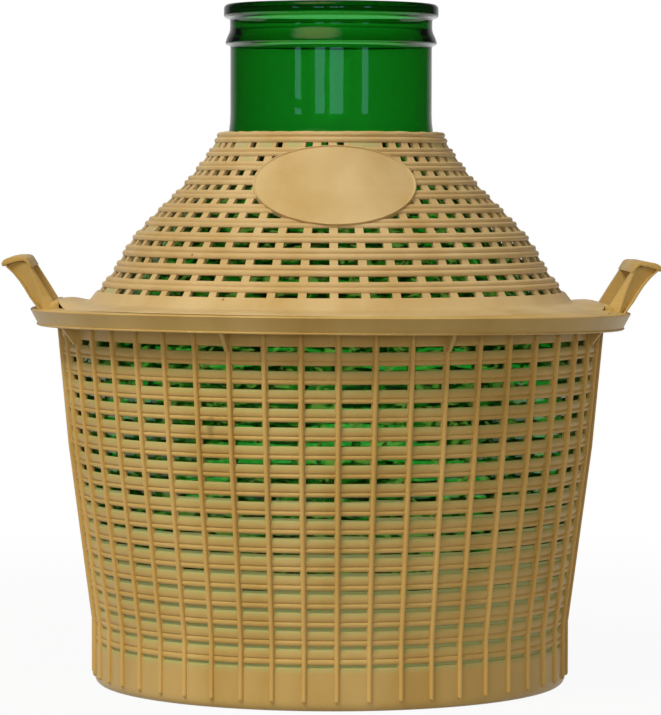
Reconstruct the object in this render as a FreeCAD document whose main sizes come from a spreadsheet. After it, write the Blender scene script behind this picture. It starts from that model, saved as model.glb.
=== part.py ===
"""Twenty-litre wide-mouth glass demijohn in a moulded plastic basket.

Millimetres, +Z up. The origin is the centre of the basket's foot, on the surface it stands on.
The handles lie along X, and the oval plate of the cover faces -Y.
"""
import FreeCAD
import Part
import Sketcher
import math
import os

Vector = FreeCAD.Vector

# Driving dimensions. Radii are outside the piece unless the name says otherwise.
SIZES = {
    # Glass vessel
    "glass_body_radius": 160.6,
    "glass_base_radius": 143.0,
    "glass_wall": 4.8,
    "glass_belly_height": 150.0,
    "glass_shoulder_height": 210.0,
    "glass_shoulder_slope": 35.8,
    "glass_rim_height": 433.0,
    "glass_heel_round": 16.0,
    "glass_shoulder_round": 40.0,
    "glass_neck_root_round": 20.0,
    "neck_ledge": 0.9,
    "neck_radius": 64.8,
    "lip_proud": 4.2,
    "lip_height": 9.2,
    "lip_bevel": 1.6,
    "collar_proud": 3.2,
    "collar_height": 9.6,
    "collar_crest_rise": 3.2,
    "collar_below_rim": 17.0,
    "punt_radius": 105.0,
    "punt_rise": 9.0,
    # Lower basket
    "basket_wall": 2.5,
    "basket_floor": 3.0,
    "foot_height": 4.2,
    "foot_step": 2.4,
    "heel_gap": 6.7,
    "belly_gap": 4.0,
    "rim_gap": 12.3,
    "heel_band_height": 40.0,
    "rim_above_shoulder": 28.9,
    "flange_reach": 17.8,
    "flange_thickness": 2.5,
    "skirt_height": 10.7,
    "skirt_lean": 4.8,
    "rib_width": 2.9,
    "rib_proud": 1.9,
    "rib_start": 11.6,
    "gusset_drop": 18.4,
    "gusset_inset": 2.6,
    "slot_first_drop": 17.8,
    "slot_pitch": 34.2,
    "slot_height": 4.4,
    "slot_bar_width": 5.4,
    # Handles
    "handle_length": 84.0,
    "handle_root_step": 0.8,
    "handle_root_depth": 15.0,
    "handle_root_rise": 6.2,
    "handle_rise": 34.0,
    "handle_lean": 17.4,
    "handle_reach": 38.7,
    "handle_lip_depth": 4.3,
    "handle_inner_drop": 1.4,
    "handle_grip_height": 9.0,
    "handle_leg_width": 9.0,
    "handle_edge": 2.6,
    "handle_back_reach": 27.4,
    "handle_back_rise": 18.2,
    "handle_curl_reach": 33.3,
    "handle_curl_rise": 24.9,
    "handle_recess_depth": 3.0,
    "handle_recess_inner_edge": 4.5,
    "handle_recess_outer_edge": 2.0,
    # Upper cover
    "cover_wall": 3.6,
    "cover_foot_thickness": 2.5,
    "cover_foot_overlap": 5.0,
    "cover_foot_width": 21.6,
    "cover_handle_gap": 1.2,
    "cover_seat_gap": 0.6,
    "spigot_depth": 7.0,
    "spigot_wall": 2.0,
    "cover_height": 112.2,
    "cover_neck_gap": 6.2,
    "cover_low_bend_rise": 13.6,
    "cover_low_bend_inset": 9.9,
    "cover_middle_bend_rise": 44.4,
    "cover_middle_bend_inset": 29.2,
    "cover_high_bend_rise": 75.1,
    "cover_high_bend_inset": 60.2,
    "cover_slot_first_rise": 9.7,
    "cover_slot_pitch": 9.2,
    "cover_slot_height": 2.9,
    "cover_slot_bar_width": 5.4,
    "cover_ring_depth": 1.7,
    "plate_width": 101.9,
    "plate_height": 47.2,
    "plate_centre_rise": 75.7,
    "plate_proud": 1.2,
}

RIB_COUNT = 48
GUSSET_COUNT = 8
GUSSET_ROOT_SHARE = 0.9
BASKET_SLOT_ROWS = 5
BASKET_SLOT_SECTORS = 12
GLASS_SIDES = 32
COVER_SIDES = 32
COVER_SLOT_ROWS = 11
COVER_SLOT_SECTORS = 8

doc = FreeCAD.newDocument("demijohn")


def fill_sheet():
    """Write the driving dimensions to the spreadsheet, one alias each."""
    sheet = doc.addObject("Spreadsheet::Sheet", "Sizes")
    for row, (alias, number) in enumerate(SIZES.items(), start=1):
        sheet.set(f"A{row}", alias)
        sheet.set(f"B{row}", str(number))
        sheet.setAlias(f"B{row}", alias)
    doc.recompute()
    return sheet


sheet = fill_sheet()


def size(alias):
    """One driving dimension, as the sheet holds it."""
    return float(getattr(sheet, alias))


# Levels and radii that more than one piece follows, as expressions of the sheet.
FLOOR = "Sizes.basket_floor"
RIM = f"({FLOOR} + Sizes.glass_shoulder_height + Sizes.rim_above_shoulder)"
GLASS_RIM = f"({FLOOR} + Sizes.glass_rim_height)"
BELLY = f"({FLOOR} + Sizes.glass_belly_height)"
HEEL_RADIUS = "(Sizes.glass_base_radius + Sizes.heel_gap + Sizes.basket_wall)"
BELLY_RADIUS = "(Sizes.glass_body_radius + Sizes.belly_gap + Sizes.basket_wall)"
RIM_RADIUS = "(Sizes.glass_body_radius + Sizes.rim_gap + Sizes.basket_wall)"
FLANGE_RADIUS = f"({RIM_RADIUS} + Sizes.flange_reach)"
FLANGE_UNDER = f"({RIM} - Sizes.flange_thickness)"
HANDLE_INSIDE = f"({RIM_RADIUS} - Sizes.basket_wall + Sizes.handle_root_step)"
COVER_FOOT_RADIUS = f"({RIM_RADIUS} - Sizes.basket_wall + Sizes.cover_foot_overlap)"
COVER_BASE_RADIUS = f"({COVER_FOOT_RADIUS} - Sizes.cover_foot_width)"
COVER_BASE = f"({RIM} + Sizes.cover_foot_thickness)"
SLOPE = "(Sizes.glass_shoulder_slope * 1 deg)"
SHOULDER = f"({FLOOR} + Sizes.glass_shoulder_height)"
SHOULDER_SETBACK = f"(Sizes.glass_shoulder_round * tan({SLOPE} / 2))"
NECK_ROOT = f"({SHOULDER} + (Sizes.glass_body_radius - Sizes.neck_radius) / tan({SLOPE}))"
ROOT_SETBACK = f"(Sizes.glass_neck_root_round * tan({SLOPE} / 2))"
WALL_DROP = f"(Sizes.glass_wall * tan({SLOPE} / 2))"
COVER_SLOT_FIRST = f"({COVER_BASE} + Sizes.cover_slot_first_rise)"


def number(text):
    """Value of an expression of the sheet, in millimetres or degrees."""
    result = sheet.evalExpression(text)
    return float(getattr(result, "Value", result))


def bind(part, bindings):
    """Bind properties of a document object to expressions of the sheet."""
    for prop, text in bindings.items():
        part.setExpression(prop, text)


def origin_plane(body, role):
    """The body's own origin plane or axis with this role."""
    return next(item for item in body.Origin.OriginFeatures if item.Role == role)


def new_body(name):
    """An empty PartDesign body that may hold a pattern of separate solids."""
    body = doc.addObject("PartDesign::Body", name)
    body.Label = name
    body.AllowCompound = True
    return body


def outline(body, name, corners, plane="XZ_Plane"):
    """A closed sketch of straight edges whose corners are bound to expressions.

    corners is a list of (x, y) expression texts in the sketch's own plane.
    """
    sketch = body.newObject("Sketcher::SketchObject", name)
    sketch.AttachmentSupport = [(origin_plane(body, plane), "")]
    sketch.MapMode = "FlatFace"
    points = [Vector(number(x), number(y), 0) for x, y in corners]
    count = len(points)
    for here, there in zip(points, points[1:] + points[:1]):
        sketch.addGeometry(Part.LineSegment(here, there))
    for edge in range(count):
        sketch.addConstraint(Sketcher.Constraint("Coincident", edge, 2, (edge + 1) % count, 1))
    for edge, (corner, point) in enumerate(zip(corners, points)):
        for kind, text, value in (("DistanceX", corner[0], point.x), ("DistanceY", corner[1], point.y)):
            index = sketch.addConstraint(Sketcher.Constraint(kind, -1, 1, edge, 1, value))
            sketch.setExpression(f"Constraints[{index}]", text)
    doc.recompute()
    return sketch


def revolve(body, name, corners, kind="PartDesign::Revolution"):
    """Turn an outline in the XZ plane once about the Z axis."""
    feature = body.newObject(kind, name)
    feature.Profile = outline(body, f"{name}_outline", corners)
    feature.ReferenceAxis = (origin_plane(body, "Z_Axis"), [""])
    feature.Angle = 360
    body.Tip = feature
    doc.recompute()
    return feature


def pad(body, name, corners, width_text, plane="XZ_Plane"):
    """Pad an outline to both sides of its plane."""
    feature = body.newObject("PartDesign::Pad", name)
    feature.Profile = outline(body, f"{name}_outline", corners, plane)
    feature.Midplane = True
    feature.setExpression("Length", width_text)
    body.Tip = feature
    doc.recompute()
    return feature


def pattern_around(body, feature, count):
    """Repeat a feature evenly about the Z axis."""
    pattern = body.newObject("PartDesign::PolarPattern", f"{feature.Name}_pattern")
    pattern.Originals = [feature]
    pattern.Axis = (origin_plane(body, "Z_Axis"), [""])
    pattern.Angle = 360
    pattern.Occurrences = count
    body.Tip = pattern
    doc.recompute()
    return pattern


def faceted_solid(levels, sides):
    """A closed solid of flat faces through regular polygons.

    levels is a list of (radius over the corners, height), from the bottom up.
    """
    step = 2 * math.pi / sides
    rings = [
        [Vector(radius * math.cos(step * k), radius * math.sin(step * k), height) for k in range(sides)]
        for radius, height in levels
    ]
    faces = []
    for low, high in zip(rings, rings[1:]):
        for k in range(sides):
            after = (k + 1) % sides
            quad = [low[k], low[after], high[after], high[k], low[k]]
            faces.append(Part.Face(Part.makePolygon(quad)))
    faces.append(Part.Face(Part.makePolygon(rings[0] + rings[0][:1])))
    faces.append(Part.Face(Part.makePolygon(rings[-1] + rings[-1][:1])))
    solid = Part.Solid(Part.makeShell(faces))
    if solid.Volume < 0:
        solid.reverse()
    return solid


def faceted_feature(name, levels, sides=RIB_COUNT):
    """A document object that holds a faceted solid."""
    feature = doc.addObject("Part::Feature", name)
    feature.Shape = faceted_solid(levels, sides)
    return feature


def cut(name, base, tool):
    """Base less tool."""
    feature = doc.addObject("Part::Cut", name)
    feature.Base = base
    feature.Tool = tool
    return feature


def common(name, base, tool):
    """What base and tool share."""
    feature = doc.addObject("Part::Common", name)
    feature.Base = base
    feature.Tool = tool
    return feature


def fuse(name, pieces):
    """All the pieces as one solid."""
    feature = doc.addObject("Part::MultiFuse", name)
    feature.Shapes = pieces
    feature.Refine = True
    return feature


def slot_cutter(name, rows, first_z, pitch, height, sectors, bar_width, reach):
    """Discs at the height of each slot row, less the upright bars that stay between the slots."""
    discs = []
    for row in range(rows):
        disc = doc.addObject("Part::Cylinder", f"{name}_row_{row + 1:02d}")
        bind(disc, {
            "Radius": reach,
            "Height": height,
            "Placement.Base.z": f"{first_z} + {row} * {pitch} - {height} / 2",
        })
        discs.append(disc)
    bars = []
    for sector in range(sectors):
        bar = doc.addObject("Part::Box", f"{name}_bar_{sector + 1:02d}")
        angle = 360.0 / sectors * (sector + 0.5)
        turn = math.radians(angle)
        bind(bar, {
            "Length": f"{reach} + {bar_width}",
            "Width": bar_width,
            "Height": f"{first_z} + {rows} * {pitch}",
            "Placement.Base.x": f"{math.sin(turn)} * {bar_width} / 2",
            "Placement.Base.y": f"{-math.cos(turn)} * {bar_width} / 2",
        })
        bar.Placement.Rotation = FreeCAD.Rotation(Vector(0, 0, 1), angle)
        bars.append(bar)
    all_discs = doc.addObject("Part::Compound", f"{name}_discs")
    all_discs.Links = discs
    all_bars = doc.addObject("Part::Compound", f"{name}_bars")
    all_bars.Links = bars
    return cut(name, all_discs, all_bars)


def numbers(corners):
    """Values of a list of (radius, height) expressions."""
    return [(number(radius), number(height)) for radius, height in corners]


def glass_upper_side(inset, down):
    """Corners from the belly up to the neck, moved in by inset and down by down.

    The last corner stands a ledge outside the round neck, so that the flats end on a flat ring.
    """
    body = f"Sizes.glass_body_radius - {inset}"
    neck = f"Sizes.neck_radius + Sizes.neck_ledge - {inset}"
    return [
        (body, BELLY),
        (body, f"{SHOULDER} - {SHOULDER_SETBACK} - {down}"),
        (f"{body} - {SHOULDER_SETBACK} * sin({SLOPE})",
         f"{SHOULDER} + {SHOULDER_SETBACK} * cos({SLOPE}) - {down}"),
        (f"{neck} + {ROOT_SETBACK} * sin({SLOPE})",
         f"{NECK_ROOT} - {ROOT_SETBACK} * cos({SLOPE}) - {down}"),
        (neck, f"{NECK_ROOT} + {ROOT_SETBACK} - {down}"),
    ]


def build_glass_body():
    """The body that the basket hides, in flats, and the space inside it, each with the push-up."""
    floor = number(FLOOR)
    wall = size("glass_wall")
    base = size("glass_base_radius")
    heel = size("glass_heel_round")
    heel_middle = heel * (1 - math.cos(math.radians(45)))
    punt = size("punt_radius")
    rise = size("punt_rise")
    punt_top = punt - 2 * rise
    outside = faceted_feature("glass_body_blank", [
        (base - heel, floor),
        (base - heel_middle, floor + heel_middle),
        (base, floor + heel),
        *numbers(glass_upper_side("0", "0")),
    ], GLASS_SIDES)
    recess = faceted_feature("push_up", [
        (punt, floor - rise),
        (punt, floor),
        (punt_top, floor + rise),
    ], GLASS_SIDES)
    space = faceted_feature("glass_space_blank", [
        (base - heel, floor + wall),
        (base - wall, floor + heel),
        *numbers(glass_upper_side("Sizes.glass_wall", WALL_DROP)),
    ], GLASS_SIDES)
    mound = faceted_feature("push_up_mound", [
        (punt, floor),
        (punt, floor + wall),
        (punt_top, floor + wall + rise),
    ], GLASS_SIDES)
    return cut("glass_body", outside, recess), cut("glass_space", space, mound)


def build_neck():
    """The turned neck, solid, with its collar and its bevelled lip."""
    body = new_body("neck")
    lip = "(Sizes.neck_radius + Sizes.lip_proud)"
    collar_top = f"({GLASS_RIM} - Sizes.collar_below_rim)"
    collar_foot = f"({collar_top} - Sizes.collar_height)"
    revolve(body, "neck_and_lip", [
        ("0", SHOULDER),
        ("Sizes.neck_radius", SHOULDER),
        ("Sizes.neck_radius", collar_foot),
        ("Sizes.neck_radius + Sizes.collar_proud", f"{collar_foot} + Sizes.collar_crest_rise"),
        ("Sizes.neck_radius", collar_top),
        ("Sizes.neck_radius", f"{GLASS_RIM} - Sizes.lip_height"),
        (lip, f"{GLASS_RIM} - Sizes.lip_height"),
        (lip, f"{GLASS_RIM} - Sizes.lip_bevel"),
        (f"{lip} - Sizes.lip_bevel", GLASS_RIM),
        ("0", GLASS_RIM),
    ])
    return body


def build_glass():
    """The vessel: body and neck as one, hollowed through a round mouth."""
    body, space = build_glass_body()
    outside = fuse("glass_outside", [body, build_neck()])
    bore = doc.addObject("Part::Cylinder", "mouth_bore")
    bind(bore, {
        "Radius": "Sizes.neck_radius - Sizes.glass_wall",
        "Height": f"{GLASS_RIM} + Sizes.glass_wall - {SHOULDER}",
        "Placement.Base.z": SHOULDER,
    })
    inside = fuse("glass_inside", [space, bore])
    glass = cut("glass_vessel", outside, inside)
    doc.recompute()
    return glass


def build_basket_shell():
    """Floor, foot, tapering wall and skirted flange, with a flat facet between each pair of ribs."""
    heel = number(HEEL_RADIUS)
    belly = number(BELLY_RADIUS)
    rim = number(RIM_RADIUS)
    rim_height = number(RIM)
    wall = size("basket_wall")
    foot = heel - size("foot_step")
    outside = faceted_feature("basket_outside", [
        (foot, 0),
        (foot, size("foot_height")),
        (heel, size("foot_height")),
        (heel, size("heel_band_height")),
        (belly, number(BELLY)),
        (rim, rim_height),
    ])
    inside = faceted_feature("basket_inside", [
        (heel - wall, number(FLOOR)),
        (heel - wall, size("heel_band_height")),
        (belly - wall, number(BELLY)),
        (rim - wall, rim_height),
        (rim - wall, rim_height + wall),
    ])
    flange = number(FLANGE_RADIUS)
    thickness = size("flange_thickness")
    skirt_foot = rim_height - size("skirt_height")
    lean = size("skirt_lean") / size("skirt_height")
    flange_outside = faceted_feature("flange_outside", [
        (flange - size("skirt_lean"), skirt_foot),
        (flange, rim_height),
    ])
    flange_inside = faceted_feature("flange_inside", [
        (flange - size("skirt_lean") - thickness * (1 + lean), skirt_foot - thickness),
        (flange - thickness * (1 + lean), rim_height - thickness),
    ])
    flange_and_skirt = cut("flange_and_skirt", flange_outside, flange_inside)
    blank = fuse("basket_blank", [outside, flange_and_skirt])
    return outside, cut("basket_shell", blank, inside)


def build_ribs():
    """Upright ribs on the corners of the wall, from just above the foot to the flange."""
    body = new_body("ribs")
    sunk = "Sizes.basket_wall / 2"
    proud = "Sizes.rib_proud"
    top = f"{FLANGE_UNDER} + Sizes.flange_thickness / 2"
    rib = pad(body, "rib", [
        (f"{HEEL_RADIUS} - {sunk}", "Sizes.rib_start"),
        (f"{HEEL_RADIUS} + {proud}", f"Sizes.rib_start + {proud}"),
        (f"{HEEL_RADIUS} + {proud}", "Sizes.heel_band_height"),
        (f"{BELLY_RADIUS} + {proud}", BELLY),
        (f"{RIM_RADIUS} + {proud}", top),
        (f"{RIM_RADIUS} - {sunk}", top),
        (f"{BELLY_RADIUS} - {sunk}", BELLY),
        (f"{HEEL_RADIUS} - {sunk}", "Sizes.heel_band_height"),
    ], "Sizes.rib_width")
    pattern_around(body, rib, RIB_COUNT)
    return body


def build_gussets():
    """Three-cornered gussets that carry the flange, each on a rib."""
    body = new_body("gussets")
    top = f"{FLANGE_UNDER} + Sizes.flange_thickness / 2"
    tip = f"{FLANGE_RADIUS} - Sizes.flange_thickness - Sizes.gusset_inset"
    root = f"{RIM_RADIUS} - Sizes.basket_wall * {GUSSET_ROOT_SHARE}"
    gusset = pad(body, "gusset", [
        (root, top),
        (tip, top),
        (tip, FLANGE_UNDER),
        (root, f"{FLANGE_UNDER} - Sizes.gusset_drop"),
    ], "Sizes.rib_width")
    pattern_around(body, gusset, GUSSET_COUNT)
    body.Placement.Rotation = FreeCAD.Rotation(Vector(0, 0, 1), 180.0 / GUSSET_COUNT)
    return body


def build_handle():
    """One lifting handle: a leaning loop with a curled grip, rising from the flange at +X."""
    body = new_body("handle")
    x0 = HANDLE_INSIDE
    rise = f"({RIM} + Sizes.handle_rise)"
    pad(body, "handle_side", [
        (x0, f"{RIM} - Sizes.flange_thickness / 2"),
        (x0, f"{RIM} + Sizes.handle_root_rise"),
        (f"{x0} + Sizes.handle_lean", f"{rise} - Sizes.handle_inner_drop"),
        (f"{x0} + Sizes.handle_lean + Sizes.handle_edge", rise),
        (f"{x0} + Sizes.handle_reach - Sizes.handle_edge", f"{rise} - Sizes.handle_edge"),
        (f"{x0} + Sizes.handle_reach", f"{rise} - Sizes.handle_lip_depth"),
        (f"{x0} + Sizes.handle_reach", f"{rise} - Sizes.handle_lip_depth - Sizes.handle_edge"),
        (f"{x0} + Sizes.handle_curl_reach", f"{RIM} + Sizes.handle_curl_rise"),
        (f"{x0} + Sizes.handle_back_reach", f"{RIM} + Sizes.handle_back_rise"),
        (f"{x0} + Sizes.handle_root_depth", f"{RIM} - Sizes.flange_thickness / 2"),
    ], "Sizes.handle_length")
    half_gap = "(Sizes.handle_length / 2 - Sizes.handle_leg_width)"
    gap_foot = f"({RIM} + Sizes.handle_root_rise)"
    gap_top = f"({rise} - Sizes.handle_grip_height)"
    gap = body.newObject("PartDesign::Pocket", "finger_gap")
    gap.Profile = outline(body, "finger_gap_outline", [
        (f"-{half_gap}", gap_foot),
        (half_gap, gap_foot),
        (half_gap, gap_top),
        (f"-{half_gap}", gap_top),
    ], "YZ_Plane")
    gap.Midplane = True
    gap.Type = "ThroughAll"
    body.Tip = gap
    doc.recompute()
    return cut("recessed_handle", body, build_leg_recess())


def build_leg_recess():
    """The shallow recess in the outer face of each of a handle's legs, inside its edges."""
    inner = f"({HANDLE_INSIDE} + Sizes.handle_recess_inner_edge)"
    outer = f"({HANDLE_INSIDE} - Sizes.handle_recess_outer_edge)"
    below_grip = "(Sizes.handle_rise - Sizes.handle_grip_height - Sizes.handle_root_rise)"
    inner_run = "(Sizes.handle_rise - Sizes.handle_inner_drop - Sizes.handle_root_rise)"
    root_share = "(Sizes.handle_root_rise / Sizes.handle_back_rise)"
    back_run = "(Sizes.handle_back_reach - Sizes.handle_root_depth)"
    corners = [
        (inner, f"{RIM} + Sizes.handle_root_rise"),
        (f"{outer} + Sizes.handle_root_depth + {back_run} * {root_share}", f"{RIM} + Sizes.handle_root_rise"),
        (f"{outer} + Sizes.handle_back_reach", f"{RIM} + Sizes.handle_back_rise"),
        (f"{outer} + Sizes.handle_curl_reach", f"{RIM} + Sizes.handle_curl_rise"),
        (f"{inner} + Sizes.handle_lean * {below_grip} / {inner_run}",
         f"{RIM} + Sizes.handle_rise - Sizes.handle_grip_height"),
    ]
    whole = new_body("leg_recess_whole")
    pad(whole, "leg_recess_whole_side", corners, "Sizes.handle_length + Sizes.handle_leg_width")
    middle = new_body("leg_recess_middle")
    pad(middle, "leg_recess_middle_side", corners, "Sizes.handle_length - 2 * Sizes.handle_recess_depth")
    return cut("leg_recess", whole, middle)


def build_basket():
    """The lower basket: shell, flange, ribs, gussets and both handles as one moulding."""
    outside, shell = build_basket_shell()
    ribs = build_ribs()
    gussets = build_gussets()
    handle = build_handle()
    other_handle = doc.addObject("Part::Mirroring", "other_handle")
    other_handle.Source = handle
    other_handle.Normal = (1, 0, 0)
    doc.recompute()
    solid_basket = fuse("solid_basket", [shell, ribs, gussets, handle, other_handle])
    first_z = f"({FLANGE_UNDER} - Sizes.slot_first_drop - {BASKET_SLOT_ROWS - 1} * Sizes.slot_pitch)"
    discs = slot_cutter("basket_slots", BASKET_SLOT_ROWS, first_z, "Sizes.slot_pitch",
                        "Sizes.slot_height", BASKET_SLOT_SECTORS, "Sizes.slot_bar_width", FLANGE_RADIUS)
    slots = common("basket_slots_in_wall", outside, discs)
    basket = cut("lower_basket", solid_basket, slots)
    doc.recompute()
    return basket


def cover_levels(outward):
    """Corners of the cover's bell-shaped side, each moved out by the given amount."""
    radius = number(COVER_BASE_RADIUS) + outward
    base = number(COVER_BASE)
    levels = [(radius, base)]
    for bend in ("low", "middle", "high"):
        levels.append((radius - size(f"cover_{bend}_bend_inset"), base + size(f"cover_{bend}_bend_rise")))
    top_radius = size("neck_radius") + size("cover_neck_gap") + outward
    levels.append((top_radius, number(RIM) + size("cover_height")))
    return levels


def ringed_levels():
    """Corners of the cover's outer face: a ring's crest between each two rows of slots."""
    side = cover_levels(0)
    first = number(COVER_SLOT_FIRST)
    pitch = size("cover_slot_pitch")

    def crest(height):
        """Radius of the side at a height."""
        for (low_radius, low), (high_radius, high) in zip(side, side[1:]):
            if height <= high:
                return low_radius + (high_radius - low_radius) * (height - low) / (high - low)
        return side[-1][0]

    levels = [side[0], (crest(first - pitch / 2), first - pitch / 2)]
    for row in range(COVER_SLOT_ROWS):
        middle = first + row * pitch
        levels.append((crest(middle) - size("cover_ring_depth"), middle))
        levels.append((crest(middle + pitch / 2), middle + pitch / 2))
    return levels + [side[-1]]


def build_cover_foot():
    """The foot flange that rests on the basket's rim, and the spigot inside its wall."""
    rim = number(RIM)
    depth = size("spigot_depth")
    wall_lean = number(f"({RIM_RADIUS} - {BELLY_RADIUS}) / ({RIM} - {BELLY}) * Sizes.spigot_depth")
    spigot = number(RIM_RADIUS) - size("basket_wall") - size("cover_seat_gap") - wall_lean
    foot = number(COVER_FOOT_RADIUS)
    opening = number(COVER_BASE_RADIUS) - size("cover_wall") / 2
    outside = faceted_feature("foot_outside", [
        (spigot, rim - depth),
        (spigot, rim),
        (foot, rim),
        (foot, number(COVER_BASE)),
    ])
    inside = faceted_feature("foot_inside", [
        (spigot - size("spigot_wall"), rim - depth * 2),
        (spigot - size("spigot_wall"), rim),
        (opening, rim),
        (opening, number(COVER_BASE) + depth),
    ])
    ring = cut("foot_and_spigot", outside, inside)
    keep = doc.addObject("Part::Box", "between_handles")
    bind(keep, {
        "Length": f"2 * ({HANDLE_INSIDE} - Sizes.cover_handle_gap)",
        "Width": f"2 * ({COVER_FOOT_RADIUS} + Sizes.cover_foot_width)",
        "Height": f"2 * {RIM}",
        "Placement.Base.x": f"-({HANDLE_INSIDE} - Sizes.cover_handle_gap)",
        "Placement.Base.y": f"-({COVER_FOOT_RADIUS} + Sizes.cover_foot_width)",
    })
    return common("foot_between_handles", ring, keep)


def build_plate(inside):
    """The raised oval plate on the cover's front, following the bell."""
    plate_outside = faceted_feature("plate_outside", cover_levels(size("plate_proud")), COVER_SIDES)
    plate_bell = cut("plate_bell", plate_outside, inside)
    oval = doc.addObject("Part::Ellipse", "oval")
    bind(oval, {
        "MajorRadius": "Sizes.plate_width / 2",
        "MinorRadius": "Sizes.plate_height / 2",
        "Placement.Base.z": f"{COVER_BASE} + Sizes.plate_centre_rise",
    })
    oval.Placement.Rotation = FreeCAD.Rotation(Vector(1, 0, 0), 90)
    bar = doc.addObject("Part::Extrusion", "oval_bar")
    bar.Base = oval
    bar.DirMode = "Custom"
    bar.Dir = (0, -1, 0)
    bar.Solid = True
    bar.setExpression("LengthFwd", COVER_BASE_RADIUS)
    return common("oval_plate", plate_bell, bar)


def build_cover():
    """The upper cover: slotted and ringed bell, oval plate, foot and spigot as one moulding."""
    wall = size("cover_wall")
    inner_levels = cover_levels(-wall)
    below = (inner_levels[0][0], inner_levels[0][1] - size("cover_foot_thickness") * 2)
    above = (inner_levels[-1][0], inner_levels[-1][1] + wall)
    outside = faceted_feature("cover_outside", ringed_levels(), COVER_SIDES)
    inside = faceted_feature("cover_inside", [below] + inner_levels + [above], COVER_SIDES)
    shell = cut("cover_shell", outside, inside)
    slots = slot_cutter("cover_slots", COVER_SLOT_ROWS, COVER_SLOT_FIRST, "Sizes.cover_slot_pitch",
                        "Sizes.cover_slot_height", COVER_SLOT_SECTORS, "Sizes.cover_slot_bar_width",
                        COVER_FOOT_RADIUS)
    slotted = cut("slotted_cover", shell, slots)
    plate = build_plate(inside)
    foot = build_cover_foot()
    cover = fuse("upper_cover", [slotted, plate, foot])
    doc.recompute()
    return cover


def check_document():
    """Stop if any object of the document failed."""
    for item in doc.Objects:
        bad = {"Invalid", "Error"} & set(item.State)
        if bad:
            raise RuntimeError(f"{item.Name}: {item.State}")


def export(pieces):
    """Write each piece as one STEP file named after its node."""
    os.makedirs("parts", exist_ok=True)
    for node, piece in pieces.items():
        shape = piece.Shape
        if shape.isNull() or not shape.isValid():
            raise RuntimeError(f"{node}: the shape is null or not valid")
        if len(shape.Solids) != 1:
            raise RuntimeError(f"{node}: {len(shape.Solids)} solids in place of one")
        shape.exportStep(f"parts/{node}.step")
        print(f"{node}: volume {shape.Volume / 1e6:.3f} l, {len(shape.Faces)} faces")


def main():
    pieces = {
        "glass_vessel": build_glass(),
        "lower_basket": build_basket(),
        "upper_cover": build_cover(),
    }
    doc.recompute()
    check_document()
    export(pieces)


main()
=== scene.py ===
"""Wide-mouth green glass demijohn in a moulded polyethylene basket with a slotted cover.

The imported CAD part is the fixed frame. The classes below build the blown glass, the ribbed and
slotted lower basket with its two handles, and the ringed cover with its oval plate, in
millimetres, and each finished mesh is turned to metres in the row's own frame.
"""
from __future__ import annotations

import logging
import math
import random
from dataclasses import dataclass, field
from enum import Enum

import bmesh
import bpy
from mathutils import Matrix, Vector, noise

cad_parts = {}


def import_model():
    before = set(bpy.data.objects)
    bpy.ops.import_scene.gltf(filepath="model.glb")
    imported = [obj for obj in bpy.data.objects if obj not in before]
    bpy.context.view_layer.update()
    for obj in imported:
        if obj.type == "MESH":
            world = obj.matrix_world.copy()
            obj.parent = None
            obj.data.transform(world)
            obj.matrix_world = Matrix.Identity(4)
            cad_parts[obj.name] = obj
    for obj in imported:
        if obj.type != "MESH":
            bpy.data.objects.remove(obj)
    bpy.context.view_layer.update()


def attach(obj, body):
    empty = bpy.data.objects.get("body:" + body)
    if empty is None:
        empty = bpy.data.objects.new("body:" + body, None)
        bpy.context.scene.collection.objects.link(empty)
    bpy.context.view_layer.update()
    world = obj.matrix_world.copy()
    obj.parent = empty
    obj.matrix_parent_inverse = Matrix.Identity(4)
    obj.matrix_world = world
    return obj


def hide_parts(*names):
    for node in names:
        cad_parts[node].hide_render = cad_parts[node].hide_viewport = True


LOG = logging.getLogger("demijohn")

MM = 0.001
FULL_TURN = 2 * math.pi
BAY_COUNT = 48
BAY_ANGLE = FULL_TURN / BAY_COUNT
Z_AXIS = (0.0, 0.0, 1.0)
ORIGIN = (0.0, 0.0, 0.0)
ROOT_BODY = "root"

Profile = list[tuple[float, float]]


class Slot(Enum):
    """Material slots of the record."""

    GLASS = "green_glass"
    PLASTIC = "basket_plastic"


class Node(Enum):
    """CAD nodes that the meshes stand for."""

    GLASS = "glass_vessel"
    BASKET = "lower_basket"
    COVER = "upper_cover"


def linear(hex_colour: str) -> tuple[float, float, float, float]:
    """Turn an sRGB hex colour into a linear colour with full alpha.

    Args:
        hex_colour: six hex digits after a hash sign.

    Returns:
        Red, green, blue and alpha for a shader socket.
    """
    channels = [int(hex_colour[start:start + 2], 16) / 255 for start in (1, 3, 5)]
    values = [c / 12.92 if c <= 0.04045 else ((c + 0.055) / 1.055) ** 2.4 for c in channels]
    return values[0], values[1], values[2], 1.0


def add_node(tree: bpy.types.NodeTree, kind: str, links: dict | None = None, **settings) -> bpy.types.Node:
    """Add a shader node with its settings and its incoming links.

    Args:
        tree: the node tree that gets the node.
        kind: the node's type name, such as ShaderNodeBump.
        links: input name or index to an output socket, or to a plain value.
        settings: attributes of the node.

    Returns:
        The new node.
    """
    node = tree.nodes.new(kind)
    for name, value in settings.items():
        setattr(node, name, value)
    for socket, source in (links or {}).items():
        if isinstance(source, bpy.types.NodeSocket):
            tree.links.new(source, node.inputs[socket])
        else:
            node.inputs[socket].default_value = source
    return node


def compute(tree: bpy.types.NodeTree, operation: str, *values) -> bpy.types.NodeSocket:
    """Add a maths node.

    Args:
        tree: the node tree that gets the node.
        operation: what it does, such as MULTIPLY.
        values: its operands in order, output sockets or plain numbers.

    Returns:
        The node's result.
    """
    return add_node(tree, "ShaderNodeMath", dict(enumerate(values)), operation=operation).outputs["Value"]


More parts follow.
